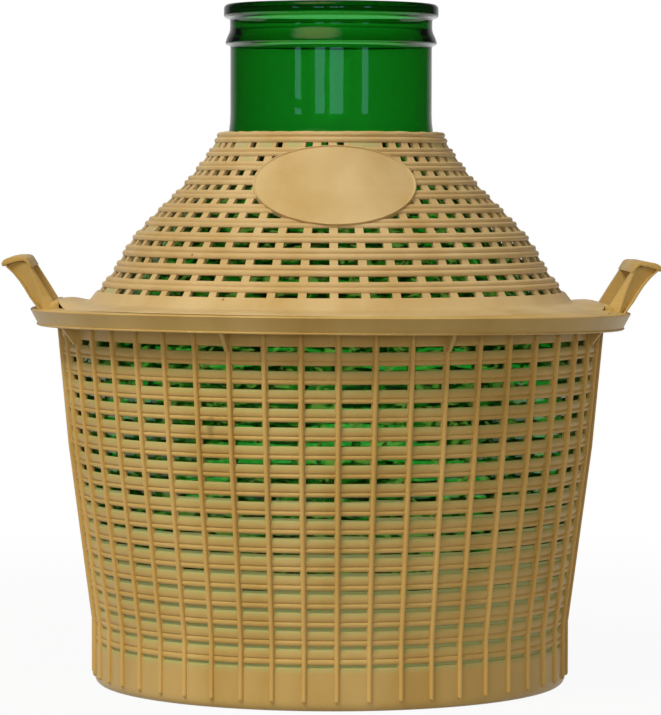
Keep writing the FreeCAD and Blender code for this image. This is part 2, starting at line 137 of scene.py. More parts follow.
def fade(tree: bpy.types.NodeTree, value: bpy.types.NodeSocket, start: float, end: float,
         low: float = 0.0, high: float = 1.0, smooth: bool = False) -> bpy.types.NodeSocket:
    """Add a node that turns one range of a value into another, held at both ends.

    Args:
        tree: the node tree that gets the node.
        value: what is turned.
        start: the value that gives low.
        end: the value that gives high.
        low: result at the start.
        high: result at the end.
        smooth: whether it eases in and out.

    Returns:
        The node's result.
    """
    return add_node(tree, "ShaderNodeMapRange", {
        "Value": value, "From Min": start, "From Max": end, "To Min": low, "To Max": high},
        interpolation_type="SMOOTHSTEP" if smooth else "LINEAR").outputs["Result"]


def mix_colours(tree: bpy.types.NodeTree, share, first, second) -> bpy.types.NodeSocket:
    """Add a node that mixes two colours.

    Args:
        tree: the node tree that gets the node.
        share: how much of the second colour shows.
        first: an output socket or a linear colour.
        second: another one.

    Returns:
        The mixed colour.
    """
    return add_node(tree, "ShaderNodeMix", {0: share, 6: first, 7: second}, data_type="RGBA").outputs[2]


def new_material(name: str) -> tuple[bpy.types.Material, bpy.types.NodeTree]:
    """Start a material with an empty node tree.

    Args:
        name: the material's name.

    Returns:
        The material and its tree.
    """
    material = bpy.data.materials.new(name)
    material.use_nodes = True
    material.node_tree.nodes.clear()
    return material, material.node_tree


@dataclass(frozen=True)
class BottleGlass:
    """Soda-lime bottle glass, blown in a mould: deep emerald green all through its thickness.

    Its colour comes from absorption, so thick edges go nearly black. Its skin is fire-polished,
    with the soft waves of blowing. Streaks of painted glint, a faint green emission, stand in for bright
    reflections on the hidden body.
    """

    passes: tuple[float, float, float, float] = (0.03, 0.69, 0.17, 1.0)
    absorption_per_metre: float = 585.0
    ior: float = 1.52
    roughness: float = 0.015
    wave_mm: float = 24.0
    wave_depth_mm: float = 0.2
    # Painted glint: the emission colour of the streaks that stand in for reflections in the glass.
    painted_glint: str = "#74A040"
    painted_glint_mm: float = 12.0
    painted_glint_squeeze: float = 2.2
    painted_glint_from: float = 0.53
    painted_glint_full: float = 0.62
    painted_glint_share: float = 0.4
    painted_glint_below: float = 0.335
    painted_glint_fade: float = 0.02
    painted_glint_middle: float = 0.05
    painted_glint_side: float = 0.15
    painted_glint_side_share: float = 0.3

    def make(self) -> bpy.types.Material:
        """Build the material.

        Returns:
            The glass, clear at its skin and green inside.
        """
        material, tree = new_material("blown_green_bottle_glass")
        place = add_node(tree, "ShaderNodeTexCoord")
        waves = add_node(tree, "ShaderNodeTexNoise", {
            "Vector": place.outputs["Object"], "Scale": 1 / (self.wave_mm * MM), "Detail": 1.5})
        bump = add_node(tree, "ShaderNodeBump", {
            "Height": waves.outputs["Fac"], "Strength": 1.0, "Distance": self.wave_depth_mm * MM})
        skin = add_node(tree, "ShaderNodeBsdfPrincipled", {
            "Base Color": linear("#F4FBF4"), "Roughness": self.roughness, "IOR": self.ior,
            "Transmission Weight": 1.0, "Normal": bump.outputs["Normal"]})
        inside = add_node(tree, "ShaderNodeVolumeAbsorption", {
            "Color": self.passes, "Density": self.absorption_per_metre})
        # Painted glint: a faint green emission in noise streaks on the body below the neck, strongest in
        # the middle columns, standing in for bright reflections.
        squeezed = add_node(tree, "ShaderNodeMapping", {
            "Vector": place.outputs["Object"], "Scale": (1.0, 1.0, self.painted_glint_squeeze)})
        painted_glint_patches = add_node(tree, "ShaderNodeTexNoise", {
            "Vector": squeezed.outputs["Vector"], "Scale": 1 / (self.painted_glint_mm * MM), "Detail": 2.0,
            "Distortion": 1.4})
        painted_glint_streaks = fade(tree, painted_glint_patches.outputs["Fac"], self.painted_glint_from, self.painted_glint_full,
                       high=self.painted_glint_share)
        parts = add_node(tree, "ShaderNodeSeparateXYZ", {0: place.outputs["Object"]})
        low = fade(tree, parts.outputs["Z"], self.painted_glint_below, self.painted_glint_below - self.painted_glint_fade)
        sideways = compute(tree, "ABSOLUTE", parts.outputs["X"])
        middle = fade(tree, sideways, self.painted_glint_middle, self.painted_glint_side, low=1.0,
                      high=self.painted_glint_side_share)
        share = compute(tree, "MULTIPLY", painted_glint_streaks, compute(tree, "MULTIPLY", low, middle))
        painted_glint = add_node(tree, "ShaderNodeEmission", {"Color": linear(self.painted_glint), "Strength": 1.0})
        surface = add_node(tree, "ShaderNodeMixShader", {
            0: share, 1: skin.outputs["BSDF"], 2: painted_glint.outputs["Emission"]})
        add_node(tree, "ShaderNodeOutputMaterial", {
            "Surface": surface.outputs["Shader"], "Volume": inside.outputs["Volume"]})
        return material


@dataclass(frozen=True)
class Speck:
    """A spot of dirt: its place and radius in metres, and how strongly it shows."""

    place: tuple[float, float, float]
    radius: float
    strength: float


COVER_SPECKS = (
    Speck((-0.0455, -0.1872, 0.2414), 0.0012, 0.8),
    Speck((-0.0693, -0.1349, 0.2505), 0.0011, 0.7),
    Speck((0.1354, -0.0832, 0.2442), 0.0013, 0.8),
    Speck((-0.0331, -0.0834, 0.3272), 0.0012, 0.7),
    Speck((-0.0884, -0.1006, 0.2772), 0.0012, 0.7),
)
BASKET_SPECKS = (
    Speck((-0.1215, -0.143, 0.2423), 0.0013, 0.8),
    Speck((-0.0767, -0.1513, 0.1782), 0.003, 0.35),
    Speck((-0.0773, -0.1503, 0.1739), 0.0036, 0.45),
    Speck((-0.0767, -0.1501, 0.1697), 0.003, 0.35),
)


@dataclass(frozen=True)
class MouldedPolyethylene:
    """High-density polyethylene, injection moulded: straw-coloured, satin, a little mottled."""

    name: str
    colour: str = "#CDB180"
    shade: str = "#C2A36C"
    pale: str = "#D6BD8E"
    # Painted greyer green: the glow of glass light through thin plastic.
    painted_glass_glow: str = "#A9B07C"
    roughness: float = 0.42
    flow_mm: float = 38.0
    grain_mm: float = 1.6
    grain_depth_mm: float = 0.05
    dirt: str = "#5A4222"
    specks: tuple[Speck, ...] = ()

    def make(self) -> bpy.types.Material:
        """Build the material.

        Returns:
            The plastic, whose thin places take a painted greyer green: the glow of light through the green
            glass behind them.
        """
        material, tree = new_material(self.name)
        place = add_node(tree, "ShaderNodeTexCoord")
        stretched = add_node(tree, "ShaderNodeMapping", {
            "Vector": place.outputs["Object"], "Scale": (1.0, 1.0, 0.35)})
        flow = add_node(tree, "ShaderNodeTexNoise", {
            "Vector": stretched.outputs["Vector"], "Scale": 1 / (self.flow_mm * MM), "Detail": 5.0})
        ramp = add_node(tree, "ShaderNodeValToRGB", {"Fac": flow.outputs["Fac"]})
        ramp.color_ramp.elements[0].position = 0.3
        ramp.color_ramp.elements[0].color = linear(self.shade)
        ramp.color_ramp.elements[1].position = 0.72
        ramp.color_ramp.elements[1].color = linear(self.pale)
        middle = ramp.color_ramp.elements.new(0.5)
        middle.color = linear(self.colour)
        # Painted glow: a greyer green is mixed in where thin plastic lets the green glass light through.
        painted_glass_glow_node = add_node(tree, "ShaderNodeAttribute", attribute_name="painted_glass_glow")
        colour = mix_colours(tree, painted_glass_glow_node.outputs["Fac"], ramp.outputs["Color"], linear(self.painted_glass_glow))
        grain = add_node(tree, "ShaderNodeTexNoise", {
            "Vector": place.outputs["Object"], "Scale": 1 / (self.grain_mm * MM), "Detail": 3.0})
        bump = add_node(tree, "ShaderNodeBump", {
            "Height": grain.outputs["Fac"], "Strength": 0.6, "Distance": self.grain_depth_mm * MM})
        polish = fade(tree, flow.outputs["Fac"], 0.0, 1.0, self.roughness - 0.06, self.roughness + 0.08)
        for speck in self.specks:
            away = add_node(tree, "ShaderNodeVectorMath", {
                0: place.outputs["Object"], 1: speck.place}, operation="DISTANCE")
            spot = fade(tree, away.outputs["Value"], speck.radius, speck.radius * 0.4, high=speck.strength)
            colour = mix_colours(tree, spot, colour, linear(self.dirt))
        plastic = add_node(tree, "ShaderNodeBsdfPrincipled", {
            "Base Color": colour, "Roughness": polish, "IOR": 1.5, "Specular IOR Level": 0.3,
            "Subsurface Weight": 0.12, "Subsurface Radius": (0.0022, 0.0014, 0.0006),
            "Subsurface Scale": 1.0, "Normal": bump.outputs["Normal"]})
        add_node(tree, "ShaderNodeOutputMaterial", {"Surface": plastic.outputs["BSDF"]})
        return material


@dataclass(frozen=True)
class PaleStage:
    """Matt white paper on a dark bench: plain white to the camera and through glass, with a soft shadow.

    The paper ends in front of the object, so that gloss which looks down and forwards sees the bench.
    """

    paper: str = "#A4A4A0"
    bench: str = "#1E1B18"
    bench_to: float = -0.75
    paper_from: float = -0.25
    near_white: float = 0.94
    fade_from: float = 0.3
    fade_to: float = 1.2

    def make(self) -> bpy.types.Material:
        """Build the material.

        Returns:
            The floor's material.
        """
        material, tree = new_material("white_paper_floor")
        place = add_node(tree, "ShaderNodeTexCoord")
        parts = add_node(tree, "ShaderNodeSeparateXYZ", {0: place.outputs["Object"]})
        sheet = fade(tree, parts.outputs["Y"], self.bench_to, self.paper_from, smooth=True)
        surface = mix_colours(tree, sheet, linear(self.bench), linear(self.paper))
        paper = add_node(tree, "ShaderNodeBsdfPrincipled", {
            "Base Color": surface, "Roughness": 0.9, "Specular IOR Level": 0.1})
        white = add_node(tree, "ShaderNodeEmission", {"Color": linear("#FFFFFF"), "Strength": 1.0})
        away = add_node(tree, "ShaderNodeVectorMath", {0: place.outputs["Object"]}, operation="LENGTH")
        near = fade(tree, away.outputs["Value"], self.fade_from, self.fade_to, low=self.near_white,
                    smooth=True)
        path = add_node(tree, "ShaderNodeLightPath")
        seen = compute(tree, "MAXIMUM", path.outputs["Is Camera Ray"], path.outputs["Is Transmission Ray"])
        mirrored = compute(tree, "MULTIPLY", path.outputs["Is Glossy Ray"], sheet)
        share = compute(tree, "MULTIPLY", compute(tree, "MAXIMUM", seen, mirrored), near)
        mixed = add_node(tree, "ShaderNodeMixShader", {
            0: share, 1: paper.outputs["BSDF"], 2: white.outputs["Emission"]})
        add_node(tree, "ShaderNodeOutputMaterial", {"Surface": mixed.outputs["Shader"]})
        return material


def publish(bm: bmesh.types.BMesh, name: str, material: bpy.types.Material, node: Node,
            crease: float = 38.0) -> bpy.types.Object:
    """Turn a finished bmesh in millimetres into a piece that rides on the part.

    Args:
        bm: the shape, which is freed.
        name: the piece's name.
        material: its finish.
        node: the CAD node that it stands for.
        crease: the angle in degrees past which an edge stays sharp.

    Returns:
        The piece, at the origin, in metres.
    """
    bmesh.ops.scale(bm, vec=(MM, MM, MM), verts=bm.verts)
    mesh = bpy.data.meshes.new(name)
    bm.to_mesh(mesh)
    bm.free()
    mesh.materials.append(material)
    mesh.shade_smooth()
    mesh.set_sharp_from_angle(angle=math.radians(crease))
    piece = bpy.data.objects.new(name, mesh)
    bpy.context.scene.collection.objects.link(piece)
    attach(piece, ROOT_BODY)
    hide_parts(node.value)
    mesh.calc_loop_triangles()
    LOG.info("%s: %d triangles", name, len(mesh.loop_triangles))
    return piece


def pick(geometry: list, kind: type) -> list:
    """Pick the verts, edges or faces out of what an operator gives back.

    Args:
        geometry: the operator's list.
        kind: the type that is wanted.

    Returns:
        The elements of that type, in their order.
    """
    return [item for item in geometry if isinstance(item, kind)]


def paint_glass_glow(bm: bmesh.types.BMesh, share: float) -> None:
    """Give a whole mesh the painted greyer green of glass light glowing through thin plastic.

    Args:
        bm: the mesh.
        share: how much of the tint it takes.
    """
    painted_glass_glow = bm.verts.layers.float.new("painted_glass_glow")
    for vert in bm.verts:
        vert[painted_glass_glow] = share


def spin_section(bm: bmesh.types.BMesh, section: Profile, steps: int, closed: bool = True) -> None:
    """Spin an upright section once about the Z axis.

    The surface is spun in a mesh of its own, because a spin goes over all that its mesh holds.

    Args:
        bm: the mesh that gets the surface.
        section: (radius, height) corners in millimetres.
        steps: divisions of the full turn.
        closed: whether the last corner joins the first.
    """
    ring = bmesh.new()
    corners = [ring.verts.new((radius, 0.0, height)) for radius, height in section]
    ends = corners[1:] + corners[:1] if closed else corners[1:]
    edges = [ring.edges.new(pair) for pair in zip(corners, ends)]
    bmesh.ops.spin(ring, geom=corners + edges, cent=ORIGIN, axis=Z_AXIS, angle=FULL_TURN,
                   steps=steps, use_merge=True)
    mesh = bpy.data.meshes.new("ring")
    ring.to_mesh(mesh)
    ring.free()
    bm.from_mesh(mesh)
    bpy.data.meshes.remove(mesh)


def sweep_up(bm: bmesh.types.BMesh, section: Profile, stations: Profile, shrink_ends: float = 1.0) -> None:
    """Sweep a level section from station to station along an upright line.

    Args:
        bm: the mesh that gets the bar.
        section: (outward, sideways) corners about the line.
        stations: (radius, height) of the line, from the bottom up.
        shrink_ends: the scale of the section at the first station.
    """
    radius, height = stations[0]
    corners = [bm.verts.new((radius + out * shrink_ends, side * shrink_ends, height))
               for out, side in section]
    face = bm.faces.new(corners)
    grow = 1 / shrink_ends
    for (r0, z0), (r1, z1) in zip(stations, stations[1:]):
        made = bmesh.ops.extrude_face_region(bm, geom=[face])
        face = pick(made["geom"], bmesh.types.BMFace)[0]
        verts = list(face.verts)
        if grow != 1:
            bmesh.ops.scale(bm, vec=(grow, grow, 1.0), verts=verts, space=Matrix.Translation((-r0, 0, 0)))
            grow = 1
        bmesh.ops.translate(bm, vec=(r1 - r0, 0.0, z1 - z0), verts=verts)


def repeat_around(bm: bmesh.types.BMesh, count: int, phase: float = 0.0) -> None:
    """Copy all that a mesh holds evenly about the Z axis.

    Args:
        bm: the mesh, with the first copy at +X.
        count: how many there are in the full turn.
        phase: the angle in radians that all are turned by.
    """
    bmesh.ops.rotate(bm, cent=ORIGIN, matrix=Matrix.Rotation(phase, 3, "Z"), verts=bm.verts)
    step = FULL_TURN / count
    everything = bm.verts[:] + bm.edges[:] + bm.faces[:]
    bmesh.ops.spin(bm, geom=everything, cent=ORIGIN, axis=Z_AXIS, angle=step * (count - 1),
                   steps=count - 1, use_duplicate=True)


def extrude_side_view(bm: bmesh.types.BMesh, outline: Profile, y_from: float, y_to: float,
                      round_off: float = 0.0) -> None:
    """Extrude an outline drawn in the XZ plane along Y, and round its edges.

    Args:
        bm: the mesh that gets the solid.
        outline: (x, z) corners in millimetres.
        y_from: where the solid starts.
        y_to: where it ends.
        round_off: the radius of its rounded edges, or 0.
    """
    face = bm.faces.new([bm.verts.new((x, y_from, z)) for x, z in outline])
    start = set(face.verts)
    made = bmesh.ops.extrude_face_region(bm, geom=[face])
    top = pick(made["geom"], bmesh.types.BMVert)
    bmesh.ops.translate(bm, vec=(0.0, y_to - y_from, 0.0), verts=top)
    edges = {edge for vert in top for edge in vert.link_edges}
    edges |= {edge for vert in start if vert.is_valid for edge in vert.link_edges}
    if round_off:
        bmesh.ops.bevel(bm, geom=list(edges), offset=round_off, offset_type="OFFSET", affect="EDGES",
                        segments=2, profile=0.5, material=-1, clamp_overlap=True)


def join_solid(bm: bmesh.types.BMesh, solid: bmesh.types.BMesh) -> None:
    """Add a closed solid, with its faces pointing outwards, to a mesh.

    Args:
        bm: the mesh that gets the solid.
        solid: the solid, which is freed.
    """
    bmesh.ops.recalc_face_normals(solid, faces=solid.faces)
    mesh = bpy.data.meshes.new("solid")
    solid.to_mesh(mesh)
    solid.free()
    bm.from_mesh(mesh)
    bpy.data.meshes.remove(mesh)


def close_up(bm: bmesh.types.BMesh) -> None:
    """Merge doubles and point all faces outwards."""
    bmesh.ops.remove_doubles(bm, verts=bm.verts, dist=0.001)
    bmesh.ops.recalc_face_normals(bm, faces=bm.faces)


def arc(centre: tuple[float, float], radius: float, start: float, end: float, pieces: int) -> Profile:
    """Points on an arc of a section.

    Args:
        centre: (radius, height) of the arc's centre.
        radius: the arc's own radius.
        start: first angle in degrees, from outward towards up.
        end: last angle in degrees.
        pieces: straight pieces that make the arc.

    Returns:
        The arc's points, both ends included.
    """
    angles = [math.radians(start + (end - start) * k / pieces) for k in range(pieces + 1)]
    return [(centre[0] + radius * math.cos(a), centre[1] + radius * math.sin(a)) for a in angles]


def follow(profile: Profile, height: float) -> float:
    """Radius of a profile at a height.

    Args:
        profile: (radius, height) points from the bottom up.
        height: where the radius is wanted.

    Returns:
        The radius, on the straight line between the nearest points.
    """
    for (r0, z0), (r1, z1) in zip(profile, profile[1:]):
        if height <= z1:
            return r0 + (r1 - r0) * max(0.0, height - z0) / (z1 - z0)
    return profile[-1][0]


@dataclass
class GlassVessel:
    """The blown glass: rounded body, sloping shoulder, wide neck, collar and rolled lip."""

    floor: float = 3.0
    rim: float = 436.0
    wall: float = 4.8
    body_wall: float = 3.6
    base_radius: float = 143.0
    body_radius: float = 160.6
    belly: float = 153.0
    shoulder: float = 213.0
    slope: float = 35.8
    heel_round: float = 16.0
    shoulder_round: float = 40.0
    root_round: float = 60.0
    neck_radius: float = 64.8
    lip_radius: float = 69.0
    lip_height: float = 9.0
    collar_radius: float = 68.0
    collar_below_rim: float = 17.0
    collar_height: float = 9.6
    punt_radius: float = 105.0
    punt_rise: float = 9.0
    steps: int = 160
    fullness: float = 0.9
    side_heights: tuple[float, ...] = (60.0, 100.0, 130.0)
    neck_heights: tuple[float, ...] = (367.0, 374.0, 385.0, 396.0)
    bore_heights: tuple[float, ...] = (367.0, 380.0, 395.0, 410.0, 424.0)
    unevenness: float = 0.9
    waver_mm: float = 34.0
    even_within: float = 20.0
    even_above: float = 330.0

    def side(self, inset: float) -> Profile:
        """The side from the heel up to the neck's tube.

        Args:
            inset: how far inside the outer face.

        Returns:
            (radius, height) points from the bottom up.
        """
        slope = math.radians(self.slope)
        heel = self.heel_round - inset
        lean = (self.body_radius - self.base_radius) / (self.belly - self.floor)
        heel_centre = (self.base_radius - self.heel_round, self.floor + self.heel_round)
        points = arc(heel_centre, heel, -90, math.degrees(-math.atan(lean)), 6)
        points += [(self.body_radius - inset - lean * (self.belly - z) * self.fullness, z)
                   for z in self.side_heights]
        run = self.shoulder_round * math.tan(slope / 2)
        start = self.shoulder - run
        points.append((self.body_radius - inset, self.belly + 8))
        centre = (self.body_radius - self.shoulder_round, start)
        points += arc(centre, self.shoulder_round - inset, 0, self.slope, 6)
        root = self.shoulder + (self.body_radius - self.neck_radius) / math.tan(slope)
        root_run = self.root_round * math.tan(slope / 2)
        centre = (self.neck_radius + self.root_round, root + root_run)
        deep = self.wall if inset else 0.0
        points += arc(centre, self.root_round + deep, 180 + self.slope, 180, 7)
        return points

    def punt(self, level: float) -> Profile:
        """The push-up under the glass, from the axis out.

        Args:
            level: height of its lowest point.

        Returns:
            (radius, height) points.
        """
        return [(0.0, level + self.punt_rise), (self.punt_radius * 0.6, level + self.punt_rise * 0.8),
                (self.punt_radius, level)]

    def section(self) -> Profile:
        """The whole section, up the outside, over the lip and down the inside."""
        top = self.rim
        neck = self.neck_radius
        lip = self.lip_radius
        outside = self.punt(self.floor) + self.side(0.0)
        collar_top = top - self.collar_below_rim
        collar_foot = collar_top - self.collar_height
        outside += [(neck, z) for z in (*self.neck_heights, collar_foot - 3.0, collar_foot - 1.6)]
        outside += [(neck + 0.1, collar_foot - 0.8), (neck + 0.5, collar_foot)]
        outside += arc((self.collar_radius - 1.2, collar_foot + 1.9), 1.2, -70, 20, 4)
        outside += [(neck + 2.7, collar_foot + 4.0), (neck + 1.6, collar_top - 3.0),
                    (neck + 0.7, collar_top - 1.0), (neck + 0.3, collar_top + 0.6),
                    (neck + 0.2, collar_top + 2.0)]
        lip_foot = top - self.lip_height
        outside += [(neck + 0.2, lip_foot - 1.6), (neck + 0.5, lip_foot - 0.7), (neck + 1.4, lip_foot)]
        outside += arc((lip - 2.2, lip_foot + 2.4), 2.2, -70, 0, 5)
        outside.append((lip, top - 4.2))
        outside += arc((lip - 2.8, top - 2.8), 2.8, 0, 90, 4)
        inner = neck - self.wall
        outside += arc((inner + 2.0, top - 2.0), 2.0, 90, 180, 3)
        inside = self.punt(self.floor + self.body_wall) + self.side(self.body_wall)
        inside += [(inner, z) for z in self.bore_heights]
        return outside + inside[::-1]

    def build(self, material: bpy.types.Material) -> bpy.types.Object:
        """Spin the section and let the hidden body's inside waver as blown glass does.

        Args:
            material: the glass.

        Returns:
            The piece.
        """
        bm = bmesh.new()
        spin_section(bm, self.section(), self.steps, closed=False)
        close_up(bm)
        middle = self.side(self.body_wall / 2)
        for vert in bm.verts:
            radius = math.hypot(vert.co.x, vert.co.y)
            limit = follow(middle, vert.co.z)
            if radius < self.even_within or radius > limit or vert.co.z > self.even_above:
                continue
            waver = noise.noise(Vector((vert.co.x, vert.co.y, vert.co.z * 0.8)) / self.waver_mm)
            vert.co += Vector((vert.co.x, vert.co.y, 0.0)).normalized() * waver * self.unevenness
        return publish(bm, "glass_vessel_blown", material, Node.GLASS, crease=60.0)


@dataclass
class BasketWall:
    """The basket's wall: bands of two ridges with gaps between them, crossed by upright bars."""

    foot_radius: float = 149.8
    heel_radius: float = 152.2
    belly_radius: float = 167.1
    rim_radius: float = 175.4
    foot_height: float = 4.2
    heel_top: float = 40.0
    belly: float = 153.0
    rim: float = 241.9
    wall: float = 2.5
    floor: float = 3.0
    rows: int = 18
    full_rows: int = 8
    first_gap: float = 221.6
    pitch: float = 11.41
    gap: float = 3.2
    gap_low: float = 1.5
    groove_below_gap: float = 7.0
    bar_width: float = 4.2
    web_depth: float = 1.7
    web_overlap: float = 0.4
    least_web: float = 0.4
    face_depth: float = 1.7
    glass_glow_depth: float = 3.4
    glass_glow_share: float = 0.75
    steps: int = BAY_COUNT * 4

    @property
    def outer(self) -> Profile:
        """Outline of the wall's outer face, from the foot up."""
        return [(self.heel_radius, self.foot_height), (self.heel_radius, self.heel_top),
                (self.belly_radius, self.belly), (self.rim_radius, self.rim)]

    def gap_height(self, row: int) -> float:
        """Height of the gaps of a row, narrower in the lower half."""
        share = max(0.0, (row - self.full_rows) / (self.rows - 1 - self.full_rows))
        return self.gap + (self.gap_low - self.gap) * share

    def gap_centre(self, row: int) -> float:
        """Height of a row's centre above the floor."""
        return self.first_gap - row * self.pitch

    def band_section(self, top: float, bottom: float, groove: float) -> Profile:
        """Section of one band: a broad upper ridge, a fine groove and a small lower ridge.

        Args:
            top: height of the band's upper edge.
            bottom: height of its lower edge.
            groove: height of the groove.

        Returns:
            Closed (radius, height) corners.
        """
        outer = [
            (-1.5, top), (-1.0, top - 0.35), (-0.62, top - 1.1), (-0.3, top - 2.1), (-0.12, top - 3.2),
            (-0.18, groove + 1.0), (-0.42, groove + 0.4), (-0.85, groove), (-0.4, groove - 0.4),
            (-0.05, groove - 1.0), (0.08, (groove + bottom) / 2 - 0.2), (-0.1, bottom + 0.55),
            (-0.5, bottom + 0.12), (-1.2, bottom),
        ]
        section = [(follow(self.outer, z) + out, z) for out, z in outer]
        section += [(follow(self.outer, z) - self.wall, z) for z in (bottom, top)]
        return section

    def build_bands(self, material: bpy.types.Material) -> bpy.types.Object:
        """Spin the plain top band, the ridged bands and the plain foot with its floor."""
        bm = bmesh.new()
        first_top = self.gap_centre(0) + self.gap_height(0) / 2
        top_band = [(follow(self.outer, z) + out, z) for out, z in (
            (-1.3, first_top), (-0.55, first_top + 0.15), (-0.1, first_top + 0.7), (0.0, first_top + 1.6),
            (0.0, self.rim - 1.0), (-self.wall, self.rim - 1.0), (-self.wall, first_top))]
        spin_section(bm, top_band, self.steps)
        for row in range(self.rows - 1):
            top = self.gap_centre(row) - self.gap_height(row) / 2
            bottom = self.gap_centre(row + 1) + self.gap_height(row + 1) / 2
            groove = self.gap_centre(row) - self.groove_below_gap
            spin_section(bm, self.band_section(top, bottom, groove), self.steps)
        last = self.rows - 1
        top = self.gap_centre(last) - self.gap_height(last) / 2
        foot = [(0.0, self.floor), (self.heel_radius - self.wall - 1, self.floor),
                (self.heel_radius - self.wall, self.floor + 1), (follow(self.outer, top) - self.wall, top),
                (follow(self.outer, top) - 1.3, top), (follow(self.outer, top) - 0.5, top - 0.5),
                (follow(self.outer, top - 2), top - 2), (self.heel_radius, top - 4.4),
                (self.heel_radius, 12.0), (self.heel_radius, self.foot_height + 2.4),
                (self.heel_radius - 0.1, self.foot_height + 0.6), (self.heel_radius - 0.45, 3.0),
                (self.heel_radius - 1.1, 1.5), (self.foot_radius + 0.2, 0.5),
                (self.foot_radius - 0.4, 0.1), (self.foot_radius - 1.4, 0.0), (0.0, 0.0)]
        spin_section(bm, foot, self.steps, closed=False)
        close_up(bm)
        # Painted glow: the outer face just below each gap's sill takes the greyer green, fading over a few
        # millimetres.
        painted_glass_glow = bm.verts.layers.float.new("painted_glass_glow")
        sills = [self.gap_centre(row) - self.gap_height(row) / 2 for row in range(self.rows)]
        for vert in bm.verts:
            above = [sill - vert.co.z for sill in sills]
            nearest = min((gap for gap in above if gap > -0.01), default=9.0)
            on_face = math.hypot(vert.co.x, vert.co.y) > follow(self.outer, vert.co.z) - self.face_depth
            if on_face:
                vert[painted_glass_glow] = max(0.0, 1.0 - nearest / self.glass_glow_depth) * self.glass_glow_share
        return publish(bm, "basket_wall_bands", material, Node.BASKET)

    def build_bars(self, material: bpy.types.Material) -> bpy.types.Object:
        """Sweep the flat upright bars that stand behind the ribs."""
        bm = bmesh.new()
        half = self.bar_width / 2
        section = [(-self.wall + 0.2, -half), (-0.9, -half), (-0.6, -half + 0.4), (-0.6, half - 0.4),
                   (-0.9, half), (-self.wall + 0.2, half)]
        low = self.gap_centre(self.rows - 1) - 4
        heights = (low, self.heel_top, self.belly, self.first_gap + 4)
        sweep_up(bm, section, [(follow(self.outer, z), z) for z in heights])
        repeat_around(bm, BAY_COUNT)
        close_up(bm)
        return publish(bm, "basket_wall_bars", material, Node.BASKET)

    def build_webs(self, material: bpy.types.Material) -> bpy.types.Object:
        """Thin moulding flash that partly closes the gaps of the lower rows, bay by bay."""
        bm = bmesh.new()
        chance = random.Random(11)
        for row in range(self.full_rows, self.rows):
            depth = (row - self.full_rows) / (self.rows - self.full_rows)
            height = self.gap_height(row)
            for bay in range(BAY_COUNT):
                closed = height * min(1.15, max(0.0, 0.3 + depth * 1.3 + chance.uniform(-0.3, 0.2)))
                if closed < self.least_web:
                    continue
                z0 = self.gap_centre(row) - height / 2 - self.web_overlap
                z1 = z0 + self.web_overlap + closed
                radius = follow(self.outer, z0) - self.web_depth
                sag = chance.uniform(-0.25, 0.25)
                angle = (bay + 0.5) * BAY_ANGLE
                width = radius * BAY_ANGLE / 2
                corners = [(-0.2, -width, z0), (0.2, -width, z0), (0.2, width, z0), (-0.2, width, z0)]
                base = [bm.verts.new((radius + x, y, z)) for x, y, z in corners]
                made = bmesh.ops.extrude_face_region(bm, geom=[bm.faces.new(base)])
                top = pick(made["geom"], bmesh.types.BMVert)
                bmesh.ops.translate(bm, vec=(0.0, 0.0, z1 - z0), verts=top)
                for vert in top:
                    vert.co.z += sag * (1 if vert.co.y > 0 else -1)
                bmesh.ops.rotate(bm, cent=ORIGIN, matrix=Matrix.Rotation(angle, 3, "Z"), verts=base + top)
        close_up(bm)
        # Painted glow: the flash takes the full greyer green of glass light through it.
        paint_glass_glow(bm, 1.0)
        return publish(bm, "basket_wall_flash", material, Node.BASKET)


@dataclass
class BasketRibs:
    """Upright half-round ribs on the wall, and the gussets that carry the flange."""

    wall: BasketWall
    width: float = 2.9
    proud: float = 1.9
    start: float = 5.2
    top: float = 240.6
    gusset_count: int = 8
    gusset_foot: float = 221.0
    gusset_tip: float = 187.6
    gusset_width: float = 2.6

    def rib_section(self) -> Profile:
        """Half-round section of a rib, sunk a little into the wall."""
        half = self.width / 2
        crown = [(self.proud - half + half * math.sin(a), -half * math.cos(a))
                 for a in (math.pi * k / 8 for k in range(9))]
        return [(-0.9, -half)] + crown + [(-0.9, half)]

    def build_ribs(self, material: bpy.types.Material) -> bpy.types.Object:
        """Sweep one rib and repeat it around."""
        bm = bmesh.new()
        outer = self.wall.outer
        heights = (self.start, self.start + 1.2, self.wall.heel_top, self.wall.belly, self.top)
        sweep_up(bm, self.rib_section(), [(follow(outer, z), z) for z in heights], shrink_ends=0.55)
        repeat_around(bm, BAY_COUNT)
        close_up(bm)
        return publish(bm, "basket_ribs", material, Node.BASKET)

    def build_gussets(self, material: bpy.types.Material) -> bpy.types.Object:
        """Extrude one three-cornered gusset and repeat it around."""
        bm = bmesh.new()
        inner = self.wall.rim_radius - 2
        outline = [(inner, self.gusset_foot - 1), (inner + 3, self.gusset_foot - 1),
                   (self.gusset_tip - 2.5, 231.6), (self.gusset_tip, 239.0), (self.gusset_tip, self.top),
                   (inner, self.top)]
        half = self.gusset_width / 2
        extrude_side_view(bm, outline, -half, half, round_off=0.35)
        repeat_around(bm, self.gusset_count, phase=math.pi / self.gusset_count)
        close_up(bm)
        return publish(bm, "basket_gussets", material, Node.BASKET)


